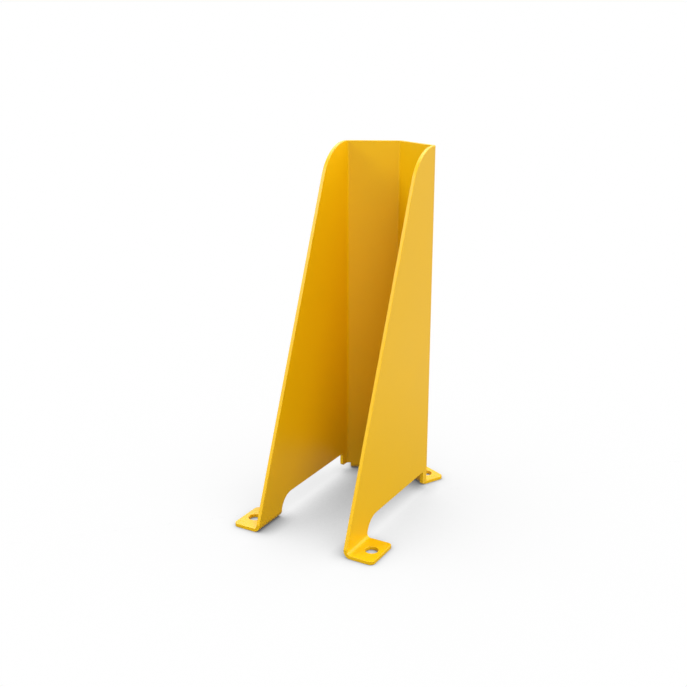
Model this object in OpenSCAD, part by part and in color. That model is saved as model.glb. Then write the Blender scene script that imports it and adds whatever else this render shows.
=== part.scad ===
// Rack column guard folded from one steel sheet.
// Two side walls and a pointed nose wrap the foot of a rack upright,
// and four turned-out feet take floor anchors.
// Frame: +Z up, floor at Z = 0, nose towards +Y, open side towards -Y,
// origin in the middle of the footprint. All sizes in millimetres.

/* [Sheet] */
// Thickness of the steel sheet
sheet_t = 4; // [2:0.5:8]
// Height of the guard
height = 400; // [300:5:800]
// Clear width between the side walls
inside_w = 104; // [80:1:140]
// How far the nose ridge stands behind the side folds
nose_depth = 28; // [15:1:60]
// Inside radius of the upright folds
fold_r = 4; // [1:0.5:12]

/* [Side walls] */
// Depth of a side wall at its foot, from the side fold to the front edge
side_depth = 194; // [150:1:300]
// Radius of the top corner, which starts at the side fold
top_r = 51.5; // [10:0.5:120]
// Height of the cut-out under a side wall
cutout_h = 24; // [16:0.5:60]
// Radius between the cut-out and the front leg
leg_arc_r = 20; // [5:1:60]
// Straight end of the front leg above the bend of its foot
leg_straight = 1; // [0.5:0.5:4]
// Radius of the cut-out's rear corner
cutout_end_r = 2; // [0.5:0.5:5]
// Distance from the side fold to the cut-out
strip_w = 13; // [11:0.5:40]
// Radius of the lower corner beside the cut-out
strip_corner_r = 3; // [0.5:0.5:5]

/* [Feet] */
// Inside radius of the bend between a wall and its foot
foot_bend_r = 4; // [1:0.5:8]
// Reach of a foot from the wall's outer face
foot_reach = 30; // [24:1:60]
// Width of a front foot
front_foot_w = 45; // [30:1:80]
// Width of a rear foot
rear_foot_w = 36; // [26:1:46]
// Flat sheet between a side fold and its rear foot
rear_foot_gap = 1.8; // [1:0.2:5]
// Radius of a foot's outer corners
foot_corner_r = 5; // [1:0.5:8]
// Diameter of the anchor holes
hole_d = 14; // [9:0.5:18]

/* [Hidden] */
$fn = 96;
coat = "#EDB326";

// Rounds a worked-out length to a micrometre, so that faces that meet lie in one place
function micron(length) = round(1000 * length) / 1000;

// Plan of the outer faces: sharp corners at (half_w, 0) and (0, nose_depth)
half_w = inside_w / 2 + sheet_t;
nose_a = atan(nose_depth / half_w);

// Upright folds: outer radius, turn at the sides, and run from a sharp corner to the flat
fold_out_r = fold_r + sheet_t;
side_turn = 90 - nose_a;
side_run = micron(fold_out_r * tan(side_turn / 2));
ridge_run = fold_out_r * tan(nose_a);
nose_flat = micron(norm([half_w, nose_depth]) - side_run - ridge_run);

// The upright sheet ends where the bends of the feet begin
bend_h = foot_bend_r + sheet_t;
wall_h = height - bend_h;

// Front edge: the tangent from the front leg's straight end to the top corner's arc
corner_at = [-side_run, height - top_r];
corner_from_leg = [side_depth - side_run, wall_h - leg_straight - top_r];
lean = atan(corner_from_leg.x / corner_from_leg.y) - asin(top_r / norm(corner_from_leg));

// Cut-out: its front arc leaves the straight top and ends at the front leg's back edge
leg_back = front_foot_w - side_depth;
arc_rise = min(leg_arc_r, cutout_h - bend_h - leg_straight);
arc_run = micron(sqrt(pow(leg_arc_r, 2) - pow(leg_arc_r - arc_rise, 2)));
arc_at = [leg_back + arc_run, cutout_h - leg_arc_r];

// Each foot has an upright end of its own, which lies inside the straight end of the sheet above it
foot_end = leg_straight / 2;

// Anchor holes sit in the middle of a foot's flat
hole_out = (foot_bend_r + foot_reach) / 2;

// The outermost corner of a rear foot sets the back of the footprint
back_corner = [side_run + rear_foot_gap + rear_foot_w - foot_corner_r, foot_reach - foot_corner_r];
footprint_back = back_corner * [sin(nose_a), cos(nose_a)] + foot_corner_r;

// Margin by which a cutting shape passes the sheet
over = 1;

// The straight front edge lies this far inside the tangent, so that it crosses its arc in one clean point
ease = 0.005;

// Moves a shape to the axis of the right side fold, which stands on the floor
module at_side_fold() {
    translate([half_w - fold_out_r, -side_run, 0])
        children();
}

// Moves a shape to the start of the right nose face: +X outward, +Y along the face to the ridge
module at_nose_face() {
    at_side_fold()
        rotate(side_turn)
            children();
}

// Plan of the sheet turned fully about an upright fold's axis, to be trimmed where the flats begin
module fold_ring() {
    difference() {
        circle(fold_out_r);
        circle(fold_r);
    }
}

// Square that keeps one quarter of a fold's ring, from +X to +Y
module fold_quarter() {
    square(fold_out_r + over);
}

// Plan of the fold between a side wall and its nose face
module side_fold() {
    intersection() {
        at_side_fold()
            fold_ring();
        at_side_fold()
            fold_quarter();
        at_nose_face()
            translate([0, -fold_out_r - over, 0])
                fold_quarter();
    }
}

// Plan of a nose face from its side fold past the ridge
module nose_face() {
    at_nose_face() {
        translate([fold_r, 0, 0])
            square([sheet_t, nose_flat]);
        translate([0, nose_flat, 0])
            intersection() {
                fold_ring();
                fold_quarter();
            }
    }
}

// Right half of the nose, from the end of the side wall to the ridge
module nose_half() {
    translate([0, 0, bend_h])
        linear_extrude(wall_h)
            intersection() {
                union() {
                    side_fold();
                    nose_face();
                }
                translate([0, -side_depth, 0])
                    square([half_w + over, side_depth + nose_depth + over]);
            }
}

// Outline of a side wall before its cut-out, as (depth, height)
module wall_blank() {
    intersection() {
        translate([-side_depth, bend_h])
            square([side_depth - side_run, height]);
        union() {
            translate(corner_at) {
                circle(top_r);
                rotate(-lean)
                    translate([ease - top_r, -2 * height])
                        square([top_r, 2 * height]);
            }
            polygon([
                [0, corner_at.y],
                [0, 0],
                [top_r / 2 - side_depth, 0],
                [corner_at.x - top_r / 2, corner_at.y]
            ]);
        }
    }
}

// Space under a side wall between its front leg and the strip beside the fold
module wall_cutout() {
    end_at = [-strip_w - cutout_end_r, cutout_h - cutout_end_r];
    intersection() {
        union() {
            translate(arc_at)
                circle(leg_arc_r);
            translate([leg_back, -over])
                square([arc_run, max(arc_at.y, 0) + over]);
            translate([arc_at.x, -over])
                square([end_at.x - arc_at.x, cutout_h + over]);
            translate(end_at)
                circle(cutout_end_r);
            translate([arc_at.x, -over])
                square([-strip_w - arc_at.x, end_at.y + over]);
        }
        translate([leg_back, -over])
            square([side_depth, height]);
    }
    difference() {
        translate([-strip_w - over, bend_h - over])
            square(strip_corner_r + over);
        translate([strip_corner_r - strip_w, bend_h + strip_corner_r])
            circle(strip_corner_r);
    }
}

// Flat side wall with its slanted front edge and its cut-out
module side_wall() {
    translate([half_w - sheet_t, 0, 0])
        rotate([90, 0, 90])
            linear_extrude(sheet_t)
                difference() {
                    wall_blank();
                    wall_cutout();
                }
}

// Section of a foot as (outward, height): its upright end, a quarter bend, then the flat
module foot_section() {
    translate([-sheet_t, bend_h])
        square([sheet_t, foot_end]);
    translate([foot_bend_r, bend_h])
        intersection() {
            difference() {
                circle(bend_h);
                circle(foot_bend_r);
            }
            translate([-bend_h, -bend_h])
                square(bend_h);
        }
    translate([foot_bend_r, 0])
        square([foot_reach - foot_bend_r, sheet_t]);
}

// Plan of a foot with rounded outer corners, from the wall's inner face outward
module foot_plan(foot_w) {
    translate([-sheet_t, 0])
        square([sheet_t + foot_reach - foot_corner_r, foot_w]);
    translate([-sheet_t, foot_corner_r])
        square([sheet_t + foot_reach, foot_w - 2 * foot_corner_r]);
    for (y = [foot_corner_r, foot_w - foot_corner_r])
        translate([foot_reach - foot_corner_r, y])
            circle(foot_corner_r);
}

// Foot turned outward to +X from a wall whose outer face is at X = 0, with its anchor hole
module foot(foot_w) {
    difference() {
        intersection() {
            translate([0, foot_w, 0])
                rotate([90, 0, 0])
                    linear_extrude(foot_w)
                        foot_section();
            linear_extrude(bend_h + foot_end)
                foot_plan(foot_w);
        }
        translate([hole_out, foot_w / 2, -over])
            cylinder(d = hole_d, h = sheet_t + 2 * over);
    }
}

// Foot at the front end of a side wall
module front_foot() {
    translate([half_w, -side_depth, 0])
        foot(front_foot_w);
}

// Foot under a nose face, a little way from the side fold
module rear_foot() {
    at_nose_face()
        translate([fold_out_r, rear_foot_gap, 0])
            foot(rear_foot_w);
}

// Half of the guard to the right of the ridge
module guard_half() {
    side_wall();
    nose_half();
    front_foot();
    rear_foot();
}

// The whole folded sheet
module column_guard() {
    color(coat)
        translate([0, (side_depth - footprint_back) / 2, 0])
            union() {
                guard_half();
                mirror([1, 0, 0])
                    guard_half();
            }
}

column_guard();
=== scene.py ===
"""Studio scene of a rack column guard, folded from one yellow powder-coated steel sheet."""

import logging
import math
from dataclasses import dataclass, field
from enum import Enum

import bpy
import numpy as np
from mathutils import Matrix, Vector
from mathutils.geometry import delaunay_2d_cdt


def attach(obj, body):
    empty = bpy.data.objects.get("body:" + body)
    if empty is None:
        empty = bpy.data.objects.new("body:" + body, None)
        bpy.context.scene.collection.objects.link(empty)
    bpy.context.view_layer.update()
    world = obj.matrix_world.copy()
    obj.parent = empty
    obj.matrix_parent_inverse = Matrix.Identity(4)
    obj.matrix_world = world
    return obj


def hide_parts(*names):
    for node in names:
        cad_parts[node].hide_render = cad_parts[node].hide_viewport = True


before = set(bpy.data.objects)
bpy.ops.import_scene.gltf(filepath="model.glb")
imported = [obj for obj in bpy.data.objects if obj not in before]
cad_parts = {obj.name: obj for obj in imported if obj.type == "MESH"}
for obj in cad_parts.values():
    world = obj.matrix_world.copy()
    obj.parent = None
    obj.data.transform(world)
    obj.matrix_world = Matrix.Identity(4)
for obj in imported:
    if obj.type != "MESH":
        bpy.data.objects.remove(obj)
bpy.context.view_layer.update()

log = logging.getLogger("column_guard")

GUARD_NODE = "column_guard"
BODY = "root"
MM = 0.001
# The triangulation's mode that fills only what lies inside the outline
FILL_INSIDE = 1

Colour = tuple[float, float, float]
Pair = tuple[float, float]
Place = tuple[float, float, float]


class Maths(Enum):
    """What a maths node does with its two terms."""

    SUBTRACT = "SUBTRACT"
    MULTIPLY = "MULTIPLY"
    POWER = "POWER"
    MAXIMUM = "MAXIMUM"


def add_node(tree: bpy.types.NodeTree, kind: str, **inputs: object) -> bpy.types.Node:
    """Adds a shader node and sets its unlinked inputs.

    Args:
        tree: The node tree that gets the node.
        kind: The node's type name.
        inputs: Values by input name, with spaces written as underscores.

    Returns:
        The new node.
    """
    node = tree.nodes.new(kind)
    for name, value in inputs.items():
        node.inputs[name.replace("_", " ")].default_value = value
    return node


def add_maths(tree: bpy.types.NodeTree, operation: Maths, *terms: object) -> bpy.types.NodeSocket:
    """Adds a maths node.

    Args:
        tree: The node tree that gets the node.
        operation: What the node does.
        terms: Its two terms, numbers or sockets.

    Returns:
        The node's result socket.
    """
    node = tree.nodes.new("ShaderNodeMath")
    node.operation = operation.value
    for socket, term in zip(node.inputs, terms):
        if isinstance(term, bpy.types.NodeSocket):
            tree.links.new(term, socket)
        else:
            socket.default_value = term
    return node.outputs["Value"]


def points(along: object, up: object) -> np.ndarray:
    """Pairs places along with levels up, where a single number goes with each value of the other."""
    return np.stack(np.broadcast_arrays(np.asarray(along, float), np.asarray(up, float)), axis=1)


def arc(centre: Pair, radius: float, start: float, end: float, steps: int) -> np.ndarray:
    """Gives points along a circular arc: the centre plus the radius times each angle's cosine and sine.

    Args:
        centre: The arc's centre.
        radius: Its radius.
        start: Its first angle in degrees.
        end: Its last angle in degrees.
        steps: The number of straight steps.

    Returns:
        The points, as an array of steps + 1 rows.
    """
    turn = np.radians(np.linspace(start, end, steps + 1))
    return np.asarray(centre) + radius * points(np.cos(turn), np.sin(turn))


@dataclass(frozen=True)
class PowderCoat:
    """Smooth semi-gloss powder coat: a fine orange peel and faint drifts of tone and gloss.

    Lengths are in metres. Detail and fineness say how many finer layers a noise has, and how much
    they count.
    """

    name: str = "yellow_powder_coat"
    colour: Colour = (0.82, 0.493, 0.001)
    deep_colour: Colour = (0.78, 0.472, 0.001)
    roughness: Pair = (0.33, 0.39)
    ior: float = 1.42
    drift_length: float = 60 * MM
    drift_detail: float = 2.0
    drift_fineness: float = 0.5
    peel_length: float = 1.6 * MM
    peel_detail: float = 1.0
    peel_fineness: float = 0.4
    peel_height: float = 0.008 * MM

    def build(self) -> bpy.types.Material:
        """Builds the finish's material.

        Returns:
            The material, with its colour, gloss and bump worked out from object coordinates.
        """
        material = bpy.data.materials.new(self.name)
        material.use_nodes = True
        tree = material.node_tree
        link = tree.links.new
        shader = tree.nodes["Principled BSDF"]
        shader.inputs["IOR"].default_value = self.ior
        place = tree.nodes.new("ShaderNodeTexCoord")

        drift = add_node(tree, "ShaderNodeTexNoise", Scale=1 / self.drift_length,
                         Detail=self.drift_detail, Roughness=self.drift_fineness)
        link(place.outputs["Object"], drift.inputs["Vector"])
        tone = tree.nodes.new("ShaderNodeMix")
        tone.data_type = "RGBA"
        tone.inputs["A"].default_value = (*self.deep_colour, 1.0)
        tone.inputs["B"].default_value = (*self.colour, 1.0)
        link(drift.outputs["Fac"], tone.inputs["Factor"])
        link(tone.outputs["Result"], shader.inputs["Base Color"])

        gloss = add_node(tree, "ShaderNodeMapRange", To_Min=self.roughness[0], To_Max=self.roughness[1])
        link(drift.outputs["Fac"], gloss.inputs["Value"])
        link(gloss.outputs["Result"], shader.inputs["Roughness"])

        peel = add_node(tree, "ShaderNodeTexNoise", Scale=1 / self.peel_length,
                        Detail=self.peel_detail, Roughness=self.peel_fineness)
        link(place.outputs["Object"], peel.inputs["Vector"])
        bump = add_node(tree, "ShaderNodeBump", Strength=1.0, Distance=self.peel_height)
        link(peel.outputs["Fac"], bump.inputs["Height"])
        link(bump.outputs["Normal"], shader.inputs["Normal"])
        return material


@dataclass(frozen=True)
class Blank:
    """Flat blank of the guard, in millimetres.

    A point of the blank is (along, up): along the middle of the sheet from the ridge of the nose
    to a front edge, and up the sheet, with the start of the feet's bends at their height above
    the floor. The blank's left half is drawn here, and the right half is its mirror image.
    """

    sheet: float = 4.0
    height: float = 400.0
    half_width: float = 56.0
    nose_depth: float = 28.0
    inner_radius: float = 4.0
    side_depth: float = 194.0
    top_radius: float = 51.5
    cutout_height: float = 24.0
    leg_radius: float = 20.0
    leg_straight: float = 1.0
    cutout_radius: float = 2.0
    strip_width: float = 13.0
    strip_radius: float = 3.0
    foot_reach: float = 30.0
    front_foot: float = 45.0
    rear_foot: float = 36.0
    rear_gap: float = 1.8
    foot_radius: float = 5.0
    hole_radius: float = 7.0
    fold_steps: int = 16
    top_steps: int = 48
    leg_steps: int = 16
    foot_steps: int = 10
    small_steps: int = 8
    hole_steps: int = 64
    corner_gap: float = 0.3

    @property
    def mid_radius(self) -> float:
        """Radius of the sheet's middle in every bend."""
        return self.inner_radius + self.sheet / 2

    @property
    def outer_radius(self) -> float:
        """Outer radius of every bend, and the height at which the feet's bends start."""
        return self.inner_radius + self.sheet

    @property
    def nose_turn(self) -> float:
        """Turn from the ridge to a nose face, in radians."""
        return math.atan(self.nose_depth / self.half_width)

    @property
    def side_turn(self) -> float:
        """Turn from a nose face to a side wall, in radians."""
        return math.pi / 2 - self.nose_turn

    @property
    def side_run(self) -> float:
        """Distance from a side fold's sharp outer corner to its flats."""
        return self.outer_radius * math.tan(self.side_turn / 2)

    @property
    def nose_flat(self) -> float:
        """Length of a nose face between its folds."""
        ridge_run = self.outer_radius * math.tan(self.nose_turn)
        return math.hypot(self.half_width, self.nose_depth) - self.side_run - ridge_run

    @property
    def ridge_end(self) -> float:
        """Place along the sheet where the ridge's fold ends."""
        return self.mid_radius * self.nose_turn

    @property
    def nose_end(self) -> float:
        """Place along the sheet where a nose face ends."""
        return self.ridge_end + self.nose_flat

    @property
    def wall_start(self) -> float:
        """Place along the sheet where a side wall starts."""
        return self.nose_end + self.mid_radius * self.side_turn

    @property
    def wall_end(self) -> float:
        """Place along the sheet where a side wall ends in its front edge."""
        return self.at_depth(self.side_depth)

    @property
    def bend_length(self) -> float:
        """Length of the sheet in the bend of a foot."""
        return self.mid_radius * math.pi / 2

    @property
    def tip(self) -> float:
        """Level of a foot's end on the blank."""
        return self.outer_radius - self.bend_length - self.foot_reach + self.inner_radius

    @property
    def bend_levels(self) -> np.ndarray:
        """Levels of the lines that share out the bend of a foot, from the top."""
        return self.outer_radius - np.linspace(0, self.bend_length, self.fold_steps + 1)[1:]

    @property
    def ridge_lines(self) -> np.ndarray:
        """Places along the sheet of the lines that share out half of the ridge's fold."""
        return np.linspace(0, self.ridge_end, self.fold_steps // 2 + 1)

    @property
    def side_lines(self) -> np.ndarray:
        """Places along the sheet of the lines that share out a side fold."""
        return np.linspace(self.nose_end, self.wall_start, self.fold_steps + 1)

    @property
    def folds(self) -> np.ndarray:
        """Places along the sheet of all the lines that share out the upright folds of one half."""
        return np.concatenate([self.ridge_lines, self.side_lines])

    @property
    def rear_foot_span(self) -> Pair:
        """Places along the sheet between which a rear foot stands."""
        far = self.nose_end - self.rear_gap
        return far - self.rear_foot, far

    @property
    def front_foot_span(self) -> Pair:
        """Places along the sheet between which a front foot stands."""
        return self.wall_end - self.front_foot, self.wall_end

    @property
    def offset(self) -> float:
        """Works out the shift along Y that puts the origin in the middle of the footprint.

        The outermost corner of a rear foot sets the back of the footprint.

        Returns:
            The shift.
        """
        along = self.side_run + self.rear_gap + self.rear_foot - self.foot_radius
        out = self.foot_reach - self.foot_radius
        back = along * math.sin(self.nose_turn) + out * math.cos(self.nose_turn) + self.foot_radius
        return (self.side_depth - back) / 2

    def at_depth(self, depth: float) -> float:
        """Gives the place along the sheet at a depth in front of a side fold's sharp corner."""
        return self.wall_start + depth - self.side_run

    def foot_edge(self, span: Pair) -> np.ndarray:
        """Draws a foot's outline from its bend down, around its rounded end and up to its bend again.

        Args:
            span: Places along the sheet of the foot's two sides.

        Returns:
            The outline's points.
        """
        near, far = span
        levels, radius = self.bend_levels, self.foot_radius
        return np.vstack([
            points(near, levels),
            arc((near + radius, self.tip + radius), radius, 180, 270, self.foot_steps),
            arc((far - radius, self.tip + radius), radius, 270, 360, self.foot_steps),
            points(far, levels)[::-1],
        ])

    def rear_edge(self) -> np.ndarray:
        """Draws the foot of the nose, from the ridge around a rear foot to the side wall.

        Returns:
            The outline's points. Points stand on both sides of each sharp corner.
        """
        low, gap = self.outer_radius, self.corner_gap
        near, far = self.rear_foot_span
        return np.vstack([
            points(self.ridge_lines, low),
            [(near - gap, low), (near, low), (near, low - gap)],
            self.foot_edge((near, far)),
            [(far, low - gap), (far, low), (far + gap, low)],
            points(self.side_lines, low),
        ])

    def cutout_edge(self) -> np.ndarray:
        """Draws the cut-out under a side wall, from the strip beside the fold to the front leg.

        Quarter circles round the strip's lower corner and the cut-out's rear corner. The front arc
        leaves the straight top at a tangent and falls to the leg's back edge.

        Returns:
            The outline's points.
        """
        low, top = self.outer_radius, self.cutout_height
        strip, leg_back = self.at_depth(self.strip_width), self.front_foot_span[0]
        strip_r, end_r, leg_r = self.strip_radius, self.cutout_radius, self.leg_radius
        rise = top - low - self.leg_straight
        leg_run = math.sqrt(leg_r**2 - (leg_r - rise)**2)
        leg_turn = math.degrees(math.acos(leg_run / leg_r))
        return np.vstack([
            arc((strip - strip_r, low + strip_r), strip_r, 270, 360, self.small_steps),
            arc((strip + end_r, top - end_r), end_r, 180, 90, self.small_steps),
            arc((leg_back - leg_run, top - leg_r), leg_r, 90, leg_turn, self.leg_steps),
            [(leg_back, low)],
        ])

    def front_edge(self) -> np.ndarray:
        """Draws a front foot, the slanted front edge above it and the top corner.

        The slanted edge is the tangent from the leg's straight end to the top corner's arc. Its lean
        is the angle to the arc's centre, less the angle whose sine is the radius over the distance.

        Returns:
            The outline's points. Points stand on both sides of the sharp corner.
        """
        low, gap, front = self.outer_radius, self.corner_gap, self.wall_end
        reach = front - self.wall_start
        climb = self.height - self.top_radius - low - self.leg_straight
        lean = math.atan2(reach, climb) - math.asin(self.top_radius / math.hypot(reach, climb))
        slant = np.array([-math.sin(lean), math.cos(lean)])
        kink = np.array([front, low + self.leg_straight])
        corner = (self.wall_start, self.height - self.top_radius)
        return np.vstack([
            self.foot_edge(self.front_foot_span),
            [(front, low), kink - (0, gap), kink, kink + gap * slant],
            arc(corner, self.top_radius, math.degrees(lean), 90, self.top_steps),
        ])

    def edge(self) -> np.ndarray:
        """Draws the blank's whole outline.

        One half runs from the foot of the ridge around to its top, and its mirror image runs back.

        Returns:
            The outline's points, counter-clockwise seen from the guard's outer side.
        """
        top = points(self.folds, self.height)[::-1][1:]
        half = np.vstack([self.rear_edge(), self.cutout_edge(), self.front_edge(), top])
        return np.vstack([half, half[-2:0:-1] * (-1, 1)])

    def holes(self) -> list[np.ndarray]:
        """Draws the four anchor holes, each a circle in the middle of a foot's flat.

        Returns:
            The holes' outlines, clockwise.
        """
        out = self.outer_radius - self.bend_length - (self.foot_reach - self.inner_radius) / 2
        middles = [sum(span) / 2 for span in (self.rear_foot_span, self.front_foot_span)]
        return [arc((side * middle, out), self.hole_radius, 360, 0, self.hole_steps)[:-1]
                for middle in middles for side in (-1, 1)]

    def fold_lines(self) -> np.ndarray:
        """Gives the ends of the lines along which the blank bends: up the folds and across the feet.

        Returns:
            An array of lines, each with two ends.
        """
        ends = (self.outer_radius, self.height)
        upright = np.stack([points(self.folds, end) for end in ends], axis=1)
        levels = np.concatenate([[self.outer_radius], self.bend_levels])
        feet = [np.stack([points(place, levels) for place in span], axis=1)
                for span in (self.rear_foot_span, self.front_foot_span)]
        half = np.concatenate([upright, *feet])
        return np.concatenate([half, half[half[:, 0, 0] > 0] * (-1, 1)])

    def fold(self, flat: np.ndarray) -> dict[str, np.ndarray]:
        """Folds points of the blank into the guard.

        The middle of the sheet stays one bend radius away from a centre. Along a flat the centre
        moves with the sheet, and in a fold it stands still while the sheet turns around it by the
        length along the sheet over the radius. Below the start of the feet's bends the sheet turns
        outward in the same way about a level axis, and then runs on along the floor.

        Args:
            flat: Points of the blank.

        Returns:
            The folded points, and the unit directions along the sheet, up the sheet and outward.
        """
        place, up = np.abs(flat[:, 0]), flat[:, 1]
        side = np.where(flat[:, 0] > 0, 1.0, -1.0)
        radius, low = self.mid_radius, self.outer_radius
        in_side_fold = np.clip(place - self.nose_end, 0, radius * self.side_turn)
        turned = np.clip(place, 0, self.ridge_end) + in_side_fold
        angle = np.pi / 2 - turned / radius
        nose_way = np.array([math.cos(self.nose_turn), -math.sin(self.nose_turn)])
        fold_at = np.array([self.half_width - self.outer_radius, -self.side_run])
        moved = np.clip(place - self.ridge_end, 0, self.nose_flat) - self.nose_flat
        centre = fold_at + moved[:, None] * nose_way
        centre[:, 1] -= np.clip(place - self.wall_start, 0, None)
        out = points(np.cos(angle), np.sin(angle))
        tilt = np.clip((low - up) / radius, 0, np.pi / 2)
        run = np.clip(low - up - self.bend_length, 0, None) + radius * (1 - np.cos(tilt))
        plan = centre + (radius + run)[:, None] * out
        level = np.maximum(up, low) - radius * np.sin(tilt)
        zero = np.zeros_like(place)
        outward = np.stack([-side * out[:, 0], out[:, 1], zero], axis=1)
        straight = np.array([0.0, 0.0, 1.0])
        lying, standing = np.sin(tilt)[:, None], np.cos(tilt)[:, None]
        return {
            "point": np.stack([-side * plan[:, 0], plan[:, 1] + self.offset, level], axis=1),
            "along": np.stack([-out[:, 1], -side * out[:, 0], zero], axis=1),
            "up": standing * straight - lying * outward,
            "outward": standing * outward + lying * straight,
        }


@dataclass
class ColumnGuard:
    """The folded sheet with softened cut edges. Lengths are in millimetres."""

    blank: Blank = field(default_factory=Blank)
    finish: PowderCoat = field(default_factory=PowderCoat)
    edge_radius: float = 0.5
    edge_steps: int = 4
    fill_tolerance: float = 1e-7

    def build(self) -> bpy.types.Object:
        """Builds and coats the sheet in place of its solid.

        Returns:
            The guard's object.
        """
        places, normals, quads, triangles = self.shape()
        mesh = bpy.data.meshes.new("folded_sheet")
        mesh.from_pydata((places * MM).tolist(), [], quads.tolist() + triangles.tolist())
        mesh.shade_smooth()
        mesh.normals_split_custom_set_from_vertices(normals.tolist())
        mesh.materials.append(self.finish.build())
        piece = bpy.data.objects.new("folded_sheet", mesh)
        bpy.context.scene.collection.objects.link(piece)
        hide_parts(GUARD_NODE)
        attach(piece, BODY)
        return piece

    def profile(self) -> tuple[np.ndarray, np.ndarray, np.ndarray]:
        """Works out the profile of a cut edge, from the outer face to the inner one.

        A quarter circle rounds the edge at each face, and the sheet's cut runs straight between them.

        Returns:
            Its slopes in radians, its lifts off the sheet's middle and its insets from the outline.
        """
        quarter = np.linspace(np.pi / 2, 0, self.edge_steps + 1)
        slope = np.concatenate([quarter, -quarter[::-1]])
        face = np.repeat([1.0, -1.0], self.edge_steps + 1)
        lift = face * (self.blank.sheet / 2 - self.edge_radius) + self.edge_radius * np.sin(slope)
        return slope, lift, self.edge_radius * (1 - np.cos(slope))

    def shape(self) -> tuple[np.ndarray, np.ndarray, np.ndarray, np.ndarray]:
        """Works out the sheet's mesh.

        The edge profile is carried along the blank's outline and around its holes. Each of its
        points is set in from the outline along the mitre of its two sides, folded, and lifted off
        the sheet's middle along the outward direction. The two faces are filled between the
        profile's first and last rows.

        Returns:
            Points, their unit normals, the edge's quads and the faces' triangles.
        """
        loops = [self.blank.edge(), *self.blank.holes()]
        lengths = np.array([len(loop) for loop in loops])
        outline = np.vstack(loops)
        count = len(outline)
        ends = np.cumsum(lengths)
        after = np.arange(count) + 1
        after[ends - 1] = ends - lengths
        loop_of = np.repeat(np.arange(len(loops)), lengths)

        way = outline[after] - outline
        way /= np.linalg.norm(way, axis=1)[:, None]
        side = points(way[:, 1], -way[:, 0])
        side_before = side[np.argsort(after)]
        mitre = (side + side_before) / (1 + np.sum(side * side_before, axis=1))[:, None]
        facing = mitre / np.linalg.norm(mitre, axis=1)[:, None]

        slope, lift, inset = self.profile()
        rows = len(slope)
        flat = outline[None] - inset[:, None, None] * mitre[None]
        folded = self.blank.fold(flat.reshape(-1, 2))
        outward = folded["outward"]
        places = folded["point"] + np.repeat(lift, count)[:, None] * outward
        facing = np.tile(facing, (rows, 1))
        in_sheet = facing[:, :1] * folded["along"] + facing[:, 1:] * folded["up"]
        slope = np.repeat(slope, count)[:, None]
        normals = np.cos(slope) * in_sheet + np.sin(slope) * outward

        row = np.arange(rows - 1)[:, None] * count
        here = np.arange(count)[None]
        corners = [row + here, row + count + here, row + count + after, row + after]
        quads = np.stack(corners, axis=2).reshape(-1, 4)
        outer_face = self.fill(flat[0], outline, after, loop_of)
        inner_face = outer_face[:, ::-1] + (rows - 1) * count
        return places, normals, quads, np.vstack([outer_face, inner_face])

    def fill(self, inner: np.ndarray, outline: np.ndarray, after: np.ndarray,
             loop_of: np.ndarray) -> np.ndarray:
        """Fills the blank inside its set-in outline with triangles that keep to the fold lines.

        The triangulation spans the holes as well, so a triangle with all its corners on one hole is
        dropped. A triangle whose corners run clockwise is turned round.

        Args:
            inner: The outline's points, set in by the edge radius.
            outline: The outline's points.
            after: For each point, the next one on its loop.
            loop_of: For each point, the number of its loop, which is 0 for the outer one.

        Returns:
            The triangles' corners, counter-clockwise seen from the guard's outer side.
        """
        lines = self.blank.fold_lines().reshape(-1, 1, 2)
        ends = np.argmin(np.sum((lines - outline[None]) ** 2, axis=2), axis=1).reshape(-1, 2)
        edges = np.vstack([np.stack([np.arange(len(after)), after], axis=1), ends])
        spots = [Vector(spot) for spot in inner.tolist()]
        filled = delaunay_2d_cdt(spots, edges.tolist(), [], FILL_INSIDE, self.fill_tolerance)
        corners, triangles = np.array(filled[0]), np.array(filled[2])
        loop = loop_of[triangles]
        in_hole = (loop[:, 0] > 0) & (loop == loop[:, :1]).all(axis=1)
        triangles = triangles[~in_hole]
        a, b, c = (corners[triangles[:, k]] for k in range(3))
        area = (b - a)[:, 0] * (c - a)[:, 1] - (b - a)[:, 1] * (c - a)[:, 0]
        triangles[area < 0] = triangles[area < 0][:, ::-1]
        log.info("each face filled with %d triangles on %d points", len(triangles), len(corners))
        return triangles


@dataclass(frozen=True)
class Lamp:
    """One wide soft lamp, far away.

    Its turn is counter-clockwise from above the nose, seen from the top, and its rise is from the floor.
    """

    name: str
    turn_deg: float
    rise_deg: float
    energy: float
    spread_deg: float = 50.0
    gloss: float = 0.4
    tint: Colour = (1.0, 1.0, 1.0)

    def build(self) -> bpy.types.Object:
        """Hangs the lamp.

        Returns:
            The lamp's object.
        """
        data = bpy.data.lights.new(self.name, "SUN")
        data.energy = self.energy
        data.color = self.tint
        data.angle = math.radians(self.spread_deg)
        data.specular_factor = self.gloss
        lamp = bpy.data.objects.new(self.name, data)
        lamp.rotation_euler = (math.radians(self.rise_deg - 90), 0.0, math.radians(self.turn_deg))
        bpy.context.scene.collection.objects.link(lamp)
        return lamp


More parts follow.
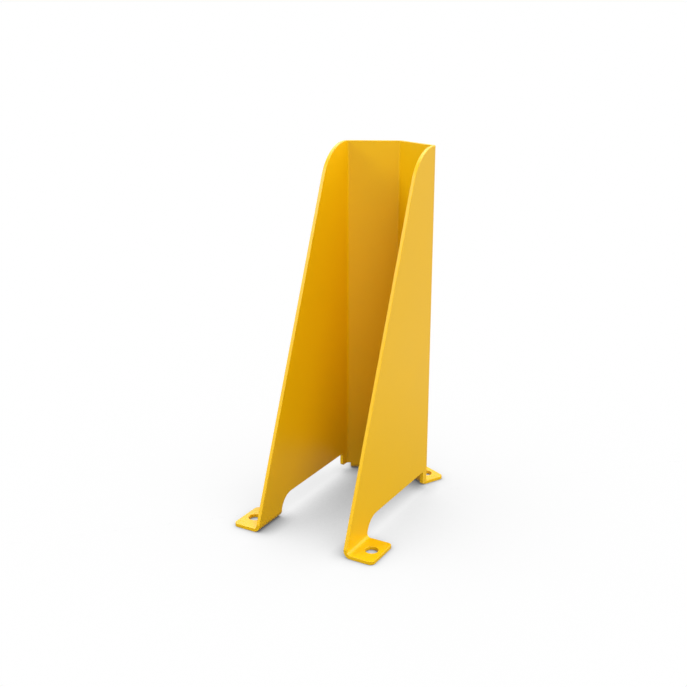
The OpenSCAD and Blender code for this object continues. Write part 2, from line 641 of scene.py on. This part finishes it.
@dataclass(frozen=True)
class Studio:
    """Pale seamless floor under a soft dome, with a wide lamp at each corner and one above.

    The floor and the surround show white, and the floor that the camera sees glows with the guard's neutral
    soft shadow painted into it.
    Lengths are in metres. A pair gives a value close by or low down, and one further off or high up.
    """

    floor_half: float = 30.0
    floor_below: float = 0.05 * MM
    floor_bounce: float = 0.2
    # painted shadow on the floor the camera sees: a wide and a contact shadow, worked out from the share of
    # hidden sky
    shadow_depth: float = 0.95
    shadow_power: float = 1.94
    shadow_reach: float = 2.0
    contact_depth: float = 0.7
    contact_reach: float = 20 * MM
    shadow_samples: int = 16
    # painted shade in reflections: strengths, reaches and middle of the mirrored floor's glow, dimmer close
    # to the guard
    mirrored: Pair = (0.13, 0.7)
    mirrored_reach: Pair = (0.2, 0.8)
    mirrored_middle: Place = (0.0, -0.3, 0.0)
    dome: Pair = (0.95, 0.1)
    dome_rise: Pair = (0.3, 0.55)
    dome_tint: Colour = (1.0, 0.89, 0.8)
    lamps: tuple[Lamp, ...] = (
        Lamp("back_left_lamp", turn_deg=55.0, rise_deg=50.0, energy=1.5),
        Lamp("front_left_lamp", turn_deg=135.0, rise_deg=32.0, energy=1.45, spread_deg=22.0),
        Lamp("front_right_lamp", turn_deg=230.0, rise_deg=40.0, energy=1.4),
        Lamp("back_right_lamp", turn_deg=305.0, rise_deg=33.0, energy=1.35, tint=(1.0, 0.92, 0.85)),
        Lamp("top_lamp", turn_deg=265.0, rise_deg=74.0, energy=0.85, spread_deg=16.0),
    )

    def build(self) -> None:
        """Builds the floor, the surround and the lamps, and reports each."""
        floor = self.build_floor()
        log.info("%s laid", floor.name)
        world = self.build_surround()
        log.info("%s lit", world.name)
        for lamp in self.lamps:
            log.info("%s hung", lamp.build().name)

    def build_floor(self) -> bpy.types.Object:
        """Lays a flat floor under the guard.

        Returns:
            The floor's object.
        """
        half, drop = self.floor_half, -self.floor_below
        corners = [(-half, -half, drop), (half, -half, drop), (half, half, drop), (-half, half, drop)]
        mesh = bpy.data.meshes.new("studio_floor")
        mesh.from_pydata(corners, [], [(0, 1, 2, 3)])
        mesh.materials.append(self.floor_material())
        floor = bpy.data.objects.new("studio_floor", mesh)
        bpy.context.scene.collection.objects.link(floor)
        return floor

    def floor_material(self) -> bpy.types.Material:
        """Builds the floor's material.

        The camera sees a white glowing floor with the guard's shadow painted in, and the coat's gloss
        mirrors a dimmer glowing one with painted shade near the guard. To all other light it is a plain
        grey.

        Returns:
            The material.
        """
        material = bpy.data.materials.new("studio_floor")
        material.use_nodes = True
        tree = material.node_tree
        tree.nodes.clear()
        link = tree.links.new
        rays = tree.nodes.new("ShaderNodeLightPath")
        plain = add_node(tree, "ShaderNodeBsdfDiffuse", Color=(*[self.floor_bounce] * 3, 1.0))
        lit = tree.nodes.new("ShaderNodeMixShader")
        mirroring = (rays.outputs["Is Glossy Ray"], rays.outputs["Is Transmission Ray"])
        link(add_maths(tree, Maths.MAXIMUM, *mirroring), lit.inputs["Fac"])
        link(plain.outputs["BSDF"], lit.inputs[1])
        link(self.mirrored_floor_with_painted_shade(tree), lit.inputs[2])
        seen = tree.nodes.new("ShaderNodeMixShader")
        link(rays.outputs["Is Camera Ray"], seen.inputs["Fac"])
        link(lit.outputs["Shader"], seen.inputs[1])
        link(self.shown_floor_with_painted_shadow(tree), seen.inputs[2])
        out = tree.nodes.new("ShaderNodeOutputMaterial")
        link(seen.outputs["Shader"], out.inputs["Surface"])
        return material

    def hidden_sky(self, tree: bpy.types.NodeTree, reach: float) -> bpy.types.NodeSocket:
        """Measures the share of the sky that things within a reach hide from a point of the floor.

        Args:
            tree: The floor's node tree.
            reach: The furthest that a thing counts.

        Returns:
            The socket with the share.
        """
        sky = add_node(tree, "ShaderNodeAmbientOcclusion", Distance=reach)
        sky.samples = self.shadow_samples
        return add_maths(tree, Maths.SUBTRACT, 1.0, sky.outputs["AO"])

    def shown_floor_with_painted_shadow(self, tree: bpy.types.NodeTree) -> bpy.types.NodeSocket:
        """Makes the floor that the camera sees.

        It glows white, less a painted wide shadow that grows as a power of the share of the sky that the
        guard hides, and less a painted contact shadow close to the feet.

        Args:
            tree: The floor's node tree.

        Returns:
            The shader's socket.
        """
        # painted shadow: the glowing floor's strength drops where the guard hides the sky, standing in for
        # its cast shadow
        deep = add_maths(tree, Maths.POWER, self.hidden_sky(tree, self.shadow_reach), self.shadow_power)
        wide = add_maths(tree, Maths.MULTIPLY, deep, self.shadow_depth)
        near = self.hidden_sky(tree, self.contact_reach)
        contact = add_maths(tree, Maths.MULTIPLY, near, self.contact_depth)
        lights = [add_maths(tree, Maths.SUBTRACT, 1.0, shadow) for shadow in (wide, contact)]
        shown = tree.nodes.new("ShaderNodeEmission")
        tree.links.new(add_maths(tree, Maths.MULTIPLY, *lights), shown.inputs["Strength"])
        return shown.outputs["Emission"]

    def mirrored_floor_with_painted_shade(self, tree: bpy.types.NodeTree) -> bpy.types.NodeSocket:
        """Makes the glowing floor that the coat's gloss mirrors, with painted shade: dim in front of the
        guard, paler further off.

        Args:
            tree: The floor's node tree.

        Returns:
            The shader's socket.
        """
        # painted shade: the mirrored floor's glow fades down towards a point in front of the guard,
        # standing in for its shadow
        place = tree.nodes.new("ShaderNodeTexCoord")
        away = tree.nodes.new("ShaderNodeVectorMath")
        away.operation = "DISTANCE"
        away.inputs[1].default_value = self.mirrored_middle
        tree.links.new(place.outputs["Object"], away.inputs[0])
        near, far = self.mirrored_reach
        fade = add_node(tree, "ShaderNodeMapRange", From_Min=near, From_Max=far,
                        To_Min=self.mirrored[0], To_Max=self.mirrored[1])
        tree.links.new(away.outputs["Value"], fade.inputs["Value"])
        mirrored = tree.nodes.new("ShaderNodeEmission")
        tree.links.new(fade.outputs["Result"], mirrored.inputs["Strength"])
        return mirrored.outputs["Emission"]

    def build_surround(self) -> bpy.types.World:
        """Makes the world white where it shows or is mirrored, and a soft dome of light elsewhere.

        Returns:
            The world.
        """
        world = bpy.data.worlds.new("studio_surround")
        bpy.context.scene.world = world
        world.use_nodes = True
        tree = world.node_tree
        tree.nodes.clear()
        link = tree.links.new
        rays = tree.nodes.new("ShaderNodeLightPath")
        shown = add_maths(tree, Maths.MAXIMUM, rays.outputs["Is Camera Ray"], rays.outputs["Is Glossy Ray"])
        shown = add_maths(tree, Maths.MAXIMUM, shown, rays.outputs["Is Transmission Ray"])
        way = tree.nodes.new("ShaderNodeTexCoord")
        parts = tree.nodes.new("ShaderNodeSeparateXYZ")
        link(way.outputs["Generated"], parts.inputs["Vector"])
        low, high = self.dome_rise
        rise = add_node(tree, "ShaderNodeMapRange", From_Min=low, From_Max=high,
                        To_Min=self.dome[0], To_Max=self.dome[1])
        link(parts.outputs["Z"], rise.inputs["Value"])
        light = add_node(tree, "ShaderNodeBackground", Color=(*self.dome_tint, 1.0))
        link(rise.outputs["Result"], light.inputs["Strength"])
        white = add_node(tree, "ShaderNodeBackground", Color=(1.0, 1.0, 1.0, 1.0), Strength=1.0)
        mix = tree.nodes.new("ShaderNodeMixShader")
        link(shown, mix.inputs["Fac"])
        link(light.outputs["Background"], mix.inputs[1])
        link(white.outputs["Background"], mix.inputs[2])
        out = tree.nodes.new("ShaderNodeOutputWorld")
        link(mix.outputs["Shader"], out.inputs["Surface"])
        return world


@dataclass(frozen=True)
class PhotoCamera:
    """Camera at the photograph's viewing angle. Lengths are in metres, the lens in millimetres."""

    turn_deg: float = 29.767
    pitch_deg: float = 17.435
    distance: float = 1.138196
    aim: Place = (-0.044233, 0.049581, 0.169634)
    lens: float = 51.2335
    sensor: float = 36.0

    def build(self) -> bpy.types.Object:
        """Places the camera and makes it the scene's own.

        Returns:
            The camera's object.
        """
        turn, pitch = math.radians(self.turn_deg), math.radians(self.pitch_deg)
        right = Vector((math.cos(turn), math.sin(turn), 0.0))
        level = Vector((-math.sin(turn), math.cos(turn), 0.0))
        ahead = level * math.cos(pitch) - Vector((0.0, 0.0, math.sin(pitch)))
        up = right.cross(ahead)
        eye = Vector(self.aim) - ahead * self.distance
        data = bpy.data.cameras.new("photo_camera")
        data.lens = self.lens
        data.sensor_width = self.sensor
        camera = bpy.data.objects.new("photo_camera", data)
        axes = Matrix((right, up, -ahead)).transposed()
        camera.matrix_world = Matrix.Translation(eye) @ axes.to_4x4()
        bpy.context.scene.collection.objects.link(camera)
        bpy.context.scene.camera = camera
        return camera


def main() -> None:
    """Builds the guard, its studio and its camera."""
    logging.basicConfig(level=logging.INFO, format="%(name)s: %(message)s")
    bpy.context.scene.view_settings.view_transform = "Standard"
    guard = ColumnGuard().build()
    log.info("%s coated with %s", guard.name, guard.data.materials[0].name)
    Studio().build()
    camera = PhotoCamera().build()
    log.info("%s placed with a %.1f mm lens", camera.name, camera.data.lens)


if __name__ == "__main__":
    main()
